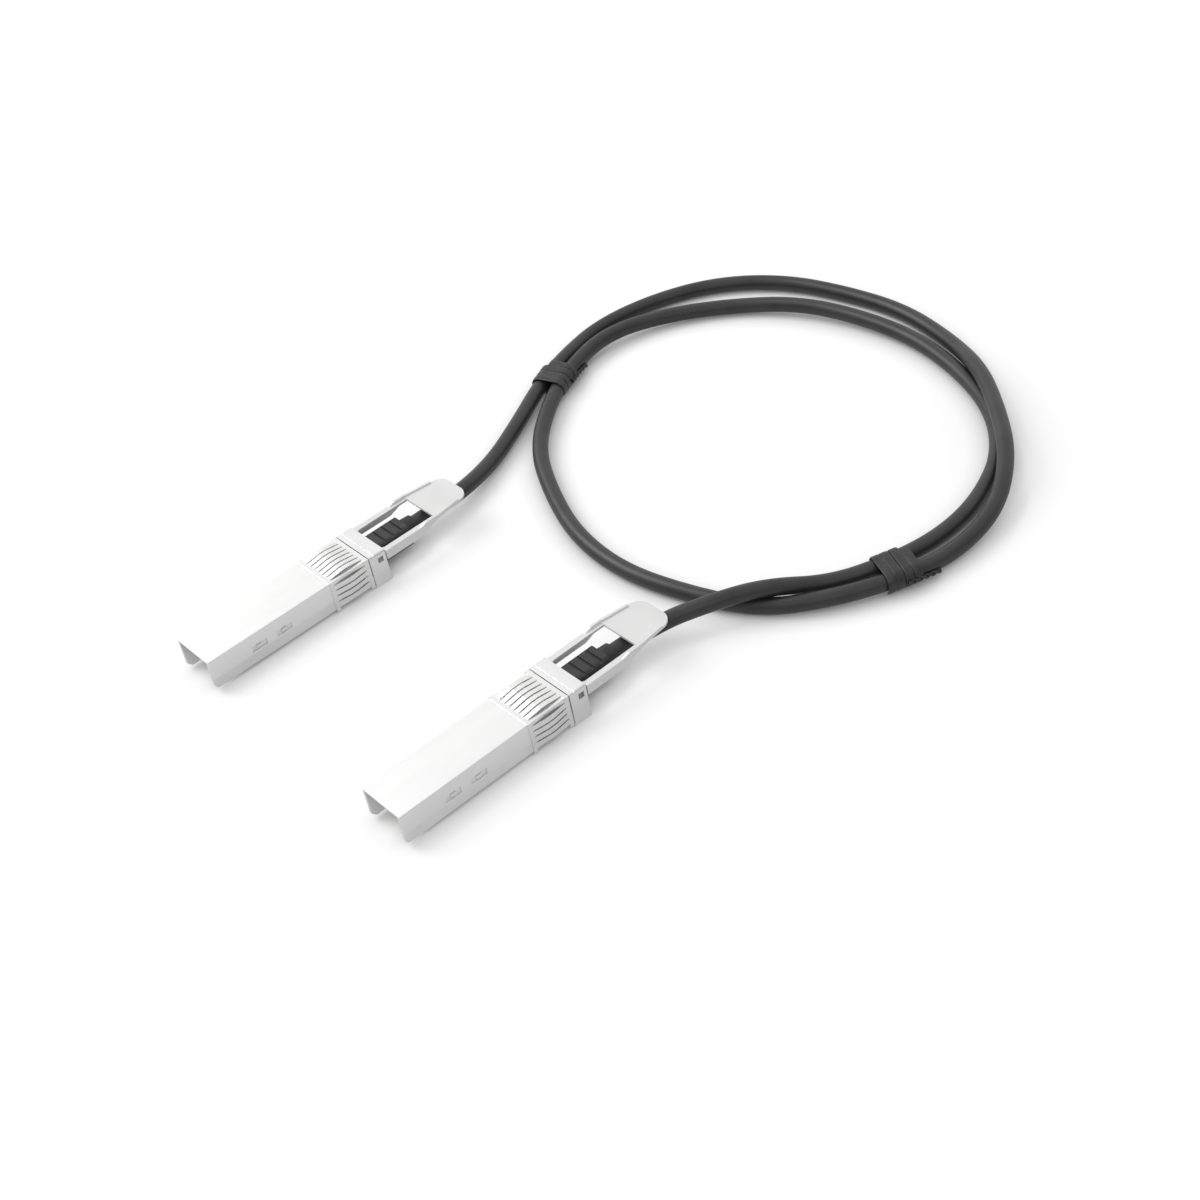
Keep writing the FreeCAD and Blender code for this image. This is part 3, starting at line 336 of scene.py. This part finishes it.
# %% Grid to mesh
def shell(name, grid, material):
    """A mesh over grid[u, v]: quads between neighbours, closed in v, with a flat cap at each end of u."""
    rows, columns = grid.shape[:2]
    u, v = np.meshgrid(np.arange(rows - 1), np.arange(columns), indexing="ij")
    after_v = (v + 1) % columns
    quads = np.stack([u * columns + v, (u + 1) * columns + v, (u + 1) * columns + after_v,
                      u * columns + after_v], axis=-1).reshape(-1, 4)
    caps = [list(range(columns)), list(range(rows * columns - 1, (rows - 1) * columns - 1, -1))]
    mesh = bpy.data.meshes.new(name)
    mesh.from_pydata(grid.reshape(-1, 3).tolist(), [], quads.tolist() + caps)
    mesh.polygons.foreach_set("use_smooth", [True] * len(quads) + [False] * len(caps))
    mesh.materials.append(material)
    mesh.update()
    piece = bpy.data.objects.new(name, mesh)
    bpy.context.scene.collection.objects.link(piece)
    return piece


# %% Frames along a line
def directions(line):
    """Unit tangents of a polyline."""
    tangent = np.gradient(line, axis=0)
    return tangent / np.linalg.norm(tangent, axis=1, keepdims=True)


def carried_frames(line, first_side):
    """Two unit vectors across a line at each point, carried along it without twist: side(u) is
    side(u - 1) less its part along the tangent, and other = tangent x side."""
    tangent = directions(line)
    side = np.empty_like(line)
    current = np.asarray(first_side, dtype=float)
    for index, along in enumerate(tangent):
        current = current - along * current.dot(along)
        current = current / np.linalg.norm(current)
        side[index] = current
    return side, np.cross(tangent, side)


# %% Tube along a line
def around(count):
    """Angles of count points once round a section."""
    return np.linspace(0, 2 * math.pi, count, endpoint=False)


def round_tube(line, radius, sides, first_side):
    """Grid of a tube: line(u) + radius (cos v side + sin v other)."""
    side, other = carried_frames(line, first_side)
    angle = around(sides)[None, :, None]
    ring = np.cos(angle) * side[:, None, :] + np.sin(angle) * other[:, None, :]
    return line[:, None, :] + radius * ring


# %% [markdown]
# ## Twist ties
#
# Each tie is a flat plastic ribbon with a soft wire in it.  It goes three times round both strands, and its
# two ends are twisted together into a tail that is tucked against the outer strand.  A plain band would be
# easier, but the overlapping turns are what shows that it was wound by hand.

# %% Tie sizes
RIBBON_WIDTH = 2.3 * MM
RIBBON_THICK = 0.50 * MM
RIBBON_PITCH = 2.35 * MM
RIBBON_OFF = 0.12 * MM
RIBBON_WOBBLE = 0.16 * MM
RIBBON_START = 0.30
RIBBON_END = 3.70
TAIL_LENGTH = 9.0 * MM
TAIL_RADIUS = 0.33 * MM
TAIL_OFFSET = 0.30 * MM
TAIL_DROOP = 0.9 * MM
TAIL_TWISTS = 2.5
print("ribbon turns: %.1f" % (RIBBON_END - RIBBON_START))


# %% Strands at a tie
SAME_STRAND = 60 * MM


def strands_near(place):
    """The two passes of the cable that go by a place: a point and a direction on each."""
    distance = np.linalg.norm(CABLE_LINE - place, axis=1)
    first = int(distance.argmin())
    ahead = directions(CABLE_LINE)
    travelled = np.concatenate([[0.0], np.cumsum(steps)])
    other = distance.copy()
    other[np.abs(travelled - travelled[first]) < SAME_STRAND] = 1.0
    second = int(other.argmin())
    return [(CABLE_LINE[index], ahead[index]) for index in (first, second)]


def tie_frame(node_name):
    """The middle, the three directions and the half spread of the two strands at a tie."""
    low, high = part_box(node_name)
    (point_a, along_a), (point_b, along_b) = strands_near(0.5 * (np.array(low) + np.array(high)))
    middle = 0.5 * (point_a + point_b)
    along = along_a + along_b * np.sign(along_a.dot(along_b))
    along = along / np.linalg.norm(along)
    along = along * np.sign(along[1])
    across = np.cross(along, (0.0, 0.0, 1.0))
    across = across / np.linalg.norm(across)
    half = 0.5 * abs((point_a - point_b).dot(across))
    return middle, across, along, np.cross(across, along), half


# %% Outline round two strands
def around_strands(turn, half, reach):
    """Point (x, z) and outward normal (nx, nz) on the outline round two strands, at turn (1 = once round).

    The outline is a straight of 2 half below, a half circle of radius reach, the same straight above and
    the other half circle back to the start."""
    straight = 2 * half
    bend = math.pi * reach
    distance = (turn % 1.0) * 2 * (straight + bend)
    x = np.zeros_like(distance)
    z = np.zeros_like(distance)
    nx = np.zeros_like(distance)
    nz = np.zeros_like(distance)
    under = distance < straight
    x[under], z[under], nz[under] = distance[under] - half, -reach, -1.0
    rising = (distance >= straight) & (distance < straight + bend)
    angle = (distance[rising] - straight) / reach
    nx[rising], nz[rising] = np.sin(angle), -np.cos(angle)
    x[rising], z[rising] = half + reach * nx[rising], reach * nz[rising]
    over = (distance >= straight + bend) & (distance < 2 * straight + bend)
    x[over], z[over], nz[over] = half - (distance[over] - straight - bend), reach, 1.0
    falling = distance >= 2 * straight + bend
    angle = (distance[falling] - 2 * straight - bend) / reach
    nx[falling], nz[falling] = -np.sin(angle), np.cos(angle)
    x[falling], z[falling] = -half + reach * nx[falling], reach * nz[falling]
    return x, z, nx, nz


# %% Wound ribbon
RIBBON_STEPS = 240
RIBBON_SIDES = 16
SLAB_WIDE = 0.45
SLAB_THICK = 0.8


def rounded(wave, power):
    """A sine or cosine squared off by a power below 1: sign(wave) |wave| ^ power."""
    return np.sign(wave) * np.abs(wave) ** power


def twist_tie(name, node_name, seed):
    """Ribbon wound round both strands: centre = outline(t) + pitch t along, section a rounded slab."""
    middle, across, along, above, half = tie_frame(node_name)
    rng = np.random.default_rng(seed)
    turns = np.linspace(RIBBON_START, RIBBON_END, RIBBON_STEPS)
    wobble = RIBBON_WOBBLE * np.interp(turns, np.arange(0, 5, 0.5), rng.uniform(-1, 1, 10))
    x, z, nx, nz = around_strands(turns, half, CABLE_RADIUS + RIBBON_OFF + RIBBON_THICK / 2)
    travel = (turns - turns.mean()) * RIBBON_PITCH + wobble
    centre = middle + x[:, None] * across + z[:, None] * above + travel[:, None] * along
    normal = nx[:, None] * across + nz[:, None] * above
    angle = around(RIBBON_SIDES)
    wide = rounded(np.cos(angle), SLAB_WIDE) * RIBBON_WIDTH / 2
    thick = rounded(np.sin(angle), SLAB_THICK) * RIBBON_THICK / 2
    grid = centre[:, None, :] + wide[None, :, None] * along + thick[None, :, None] * normal[:, None, :]
    wound = shell(name, grid[:, ::-1], ribbon)
    return wound, (middle, across, along, above, half)


# %% Twisted tail
STRAND_REACH = 12 * MM
TAIL_STEPS = 90
TAIL_SIDES = 10


def beside_strand(place, distance):
    """Where the outer strand runs beside a tie: its offsets across and above the tie's middle at each
    distance along it, from the cable's own points in the tie's directions."""
    middle, across, along, above, half = place
    local = (CABLE_LINE - middle) @ np.stack([across, along, above], axis=1)
    close = local[(np.abs(local[:, 1]) < STRAND_REACH) & (np.abs(local[:, 0]) < 3 * CABLE_RADIUS)]
    outer = close[close[:, 0] > close[:, 0].mean()]
    outer = outer[np.argsort(outer[:, 1])]
    return np.interp(distance, outer[:, 1], outer[:, 0]), np.interp(distance, outer[:, 1], outer[:, 2])


def twisted_tail(name, place):
    """Two ribbon ends twisted together against the outer strand: a pair of helices of thin tubes about
    line(s) = strand(s) + (cable radius + tail radius + (1 - s) ribbon) across - droop s^1.5 above."""
    middle, across, along, above, half = place
    travel = np.linspace(0, 1, TAIL_STEPS)
    strand_across, strand_above = beside_strand(place, travel * TAIL_LENGTH)
    out = strand_across + CABLE_RADIUS + TAIL_RADIUS + (RIBBON_OFF + RIBBON_THICK) * (1 - travel)
    height = strand_above - TAIL_DROOP * travel ** 1.5
    line = (middle + out[:, None] * across + travel[:, None] * TAIL_LENGTH * along
            + height[:, None] * above)
    first, second = carried_frames(line, above)
    tails = []
    for index, phase in enumerate((0.0, math.pi)):
        turn = 2 * math.pi * TAIL_TWISTS * travel + phase
        offset = np.cos(turn)[:, None] * first + np.sin(turn)[:, None] * second
        tube = round_tube(line + TAIL_OFFSET * offset, TAIL_RADIUS, TAIL_SIDES, above)
        tails.append(shell("%s_%d" % (name, index), tube[:, ::-1], ribbon))
    return tails


# %% Ties in place
tie_pieces = []
for seed, node_name in enumerate(("tie_left", "tie_right"), start=4):
    wound, place = twist_tie(node_name + "_winding", node_name, seed)
    tails = twisted_tail(node_name + "_tail", place)
    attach(wound, "plugs_and_cable")
    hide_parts(node_name)
    for tail in tails:
        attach(tail, "plugs_and_cable")
    tie_pieces += [wound] + tails
    print(node_name, "strands %.2f mm apart" % (2 * place[4] / MM))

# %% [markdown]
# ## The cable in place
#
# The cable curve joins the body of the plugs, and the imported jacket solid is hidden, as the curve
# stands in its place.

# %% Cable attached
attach(cable, "plugs_and_cable")
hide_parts("cable_jacket")

# %% [markdown]
# ## Return springs
#
# A small coil spring of drawn wire behind each lug of the release frame pushes the frame home.  A Screw
# modifier could turn a circle into a coil, but a real compression spring has its end turns pressed flat,
# so its line is a helix whose rise stops near both ends.

# %% Spring shape
SPRING_TURNS = 6
SPRING_WIDTH = 2.0 * MM
FLAT_TURNS = 0.6
WIRE_RADIUS = 0.15 * MM
WIRE_SIDES = 10
STEPS_A_TURN = 36


def coil(name, low, high):
    """A helix of round wire along Y in a box: (r cos 2 pi t, low + rise(t) length, r sin 2 pi t) about its
    middle, where rise stands still over the end turns."""
    radius = 0.5 * min(high.x - low.x, high.z - low.z) - WIRE_RADIUS
    centre_x, centre_z = 0.5 * (low.x + high.x), 0.5 * (low.z + high.z)
    turn = np.linspace(0, SPRING_TURNS, STEPS_A_TURN * SPRING_TURNS)
    rise = np.clip((turn - FLAT_TURNS) / (SPRING_TURNS - 2 * FLAT_TURNS), 0, 1)
    line = np.stack([
        centre_x + radius * np.cos(2 * math.pi * turn),
        low.y + WIRE_RADIUS + rise * (high.y - low.y - 2 * WIRE_RADIUS),
        centre_z + radius * np.sin(2 * math.pi * turn),
    ], axis=1)
    grid = round_tube(line, WIRE_RADIUS, WIRE_SIDES, (0.0, 1.0, 0.0))
    return shell(name, grid[:, ::-1], drawn)


# %% Springs in place
for letter in PLUGS:
    low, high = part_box("return_springs_" + letter)
    middle_z = 0.5 * (low.z + high.z)
    sides = ((low.x, low.x + SPRING_WIDTH), (high.x - SPRING_WIDTH, high.x))
    for index, (left, limit) in enumerate(sides):
        near = Vector((left, low.y, middle_z - SPRING_WIDTH / 2))
        far = Vector((limit, high.y, middle_z + SPRING_WIDTH / 2))
        spring = coil("spring_%s_%d" % (letter, index), near, far)
        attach(spring, "plugs_and_cable")
        if index == 0:
            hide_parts("return_springs_" + letter)
        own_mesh(spring)
    print("springs of plug", letter, "rest length %.2f mm" % ((high.y - low.y) / MM))

# %% [markdown]
# ## The table
#
# A plain pale table without an edge in view.  Under soft light a matt table renders grey, and brighter
# lamps would burn the metal out.  So the table glows a little, and only for the camera and for what the
# metal mirrors.  The camera's glow fades where something stands close over the table, which paints
# contact shade under and between the pieces on top of their rendered shadows, and it grows further out,
# so the table ends in the white of the room without a line.

# %% Table
TABLE_HALF = 6.0
TABLE_DROP = 0.00005

floor_mesh = bpy.data.meshes.new("floor")
rim = [(-TABLE_HALF, -TABLE_HALF, 0), (TABLE_HALF, -TABLE_HALF, 0), (TABLE_HALF, TABLE_HALF, 0),
       (-TABLE_HALF, TABLE_HALF, 0)]
floor_mesh.from_pydata(rim, [], [(0, 1, 2, 3)])
floor = bpy.data.objects.new("floor", floor_mesh)
bpy.context.scene.collection.objects.link(floor)
floor.location.z = -TABLE_DROP
print("table side: %.0f m" % (2 * TABLE_HALF))

# %% Matt paper
PAPER_GREY = 0.55

paper = bpy.data.materials.new("paper")
paper.use_nodes = True
tree = paper.node_tree
diffuse = tree.nodes["Principled BSDF"]
diffuse.inputs["Base Color"].default_value = (PAPER_GREY, PAPER_GREY, PAPER_GREY, 1)
diffuse.inputs["Roughness"].default_value = 0.9
diffuse.inputs["Specular IOR Level"].default_value = 0.1
floor_mesh.materials.append(paper)
print("paper grey:", PAPER_GREY)

# %% Glow of the paper
CONTACT_REACH = 6 * MM
CONTACT_POWER = 1.1
GLOW_NEAR, GLOW_FAR = 0.52, 0.71
GLOW_FROM, GLOW_TO = 0.3, 1.6
GLOW_MIRRORED = 0.30


def calculated(tree, operation, *values):
    """Output of a Math node, whose values are numbers or other nodes' outputs."""
    node = tree.nodes.new("ShaderNodeMath")
    node.operation = operation
    for socket, value in zip(node.inputs, values):
        if isinstance(value, float):
            socket.default_value = value
        else:
            tree.links.new(value, socket)
    return node.outputs["Value"]


ray = tree.nodes.new("ShaderNodeLightPath")
near = tree.nodes.new("ShaderNodeAmbientOcclusion")
near.samples = 8
near.inputs["Distance"].default_value = CONTACT_REACH
place_on = tree.nodes.new("ShaderNodeTexCoord")
away_by = tree.nodes.new("ShaderNodeVectorMath")
away_by.operation = "LENGTH"
tree.links.new(place_on.outputs["Object"], away_by.inputs[0])

# Painted contact shade: the camera's glow drops with the ambient occlusion, so the table darkens under and
# between the pieces.
painted_contact_shade = calculated(tree, "POWER", near.outputs["AO"], CONTACT_POWER)
further = ranged(tree, away_by.outputs["Value"], GLOW_NEAR, GLOW_FAR, GLOW_FROM, GLOW_TO)
seen = calculated(tree, "MULTIPLY", ray.outputs["Is Camera Ray"],
                  calculated(tree, "MULTIPLY", painted_contact_shade, further))
strength = calculated(tree, "MULTIPLY_ADD", ray.outputs["Is Glossy Ray"], GLOW_MIRRORED, seen)

glow = tree.nodes.new("ShaderNodeEmission")
tree.links.new(strength, glow.inputs["Strength"])
both = tree.nodes.new("ShaderNodeAddShader")
tree.links.new(diffuse.outputs["BSDF"], both.inputs[0])
tree.links.new(glow.outputs["Emission"], both.inputs[1])
tree.links.new(both.outputs["Shader"], tree.nodes["Material Output"].inputs["Surface"])
print("glow: %.2f near, %.2f far, %.2f mirrored" % (GLOW_NEAR, GLOW_FAR, GLOW_MIRRORED))

# %% [markdown]
# ## Lamps
#
# A product of bright metal wants large soft lamps, because a small one makes a hard white spot in every
# rounded edge.  A broad key stands at the left of the view and gives the shadows their direction, and a
# still broader and weaker fill stands at the right.

# %% Lamps
LAMP_AIM = (0.0, 0.05, 0.0)


def lamp(name, place, side, power):
    """A square area lamp, side metres wide and power watts strong, that faces the object."""
    data = bpy.data.lights.new(name, "AREA")
    data.shape = "SQUARE"
    data.size = side
    data.energy = power
    light = bpy.data.objects.new(name, data)
    light.location = place
    light.rotation_euler = (Vector(LAMP_AIM) - Vector(place)).to_track_quat("-Z", "Y").to_euler()
    bpy.context.scene.collection.objects.link(light)
    print("lamp", name, "stands %.2f m off" % (Vector(LAMP_AIM) - Vector(place)).length)


lamp("key", (-0.75, -0.30, 0.85), side=0.7, power=6.5)
lamp("fill", (0.9, -0.5, 0.9), side=1.2, power=3.0)

# %% [markdown]
# ## The room
#
# Most of what metal shows is the room round it.  One even world would make every face of a plug equally
# bright, so the room is told apart by the kind of ray.  Diffuse rays see an even pale grey.  Glossy rays
# see a white backdrop behind the object that falls to a dark grey behind the camera, so tops are white and
# sides are grey.  The camera itself sees plain white.

# %% Room
BACKDROP = Vector((-0.66, 0.44, 0.60)).normalized()
BACKDROP_EDGES = (-0.3, 0.6)
ROOM_DIFFUSE = 0.55
ROOM_DARK, ROOM_WHITE = 0.35, 1.0

world = bpy.data.worlds.new("room")
bpy.context.scene.world = world
world.use_nodes = True
room_tree = world.node_tree
room = room_tree.nodes["Background"]
room.inputs["Color"].default_value = (1, 1, 1, 1)
room_ray = room_tree.nodes.new("ShaderNodeLightPath")
direction = room_tree.nodes.new("ShaderNodeTexCoord")
facing = room_tree.nodes.new("ShaderNodeVectorMath")
facing.operation = "DOT_PRODUCT"
room_tree.links.new(direction.outputs["Generated"], facing.inputs[0])
facing.inputs[1].default_value = BACKDROP
print("backdrop towards", np.round(BACKDROP, 2))

# %% Room by kind of ray
mirrored = room_tree.nodes.new("ShaderNodeMix")
mirrored.inputs["A"].default_value = ROOM_DIFFUSE
room_tree.links.new(room_ray.outputs["Is Glossy Ray"], mirrored.inputs["Factor"])
room_tree.links.new(ranged(room_tree, facing.outputs["Value"], ROOM_DARK, ROOM_WHITE, *BACKDROP_EDGES),
                    mirrored.inputs["B"])
straight_on = room_tree.nodes.new("ShaderNodeMix")
straight_on.inputs["B"].default_value = ROOM_WHITE
room_tree.links.new(room_ray.outputs["Is Camera Ray"], straight_on.inputs["Factor"])
room_tree.links.new(mirrored.outputs["Result"], straight_on.inputs["A"])
room_tree.links.new(straight_on.outputs["Result"], room.inputs["Strength"])
print("room: %.2f diffuse, %.2f to %.2f glossy" % (ROOM_DIFFUSE, ROOM_DARK, ROOM_WHITE))
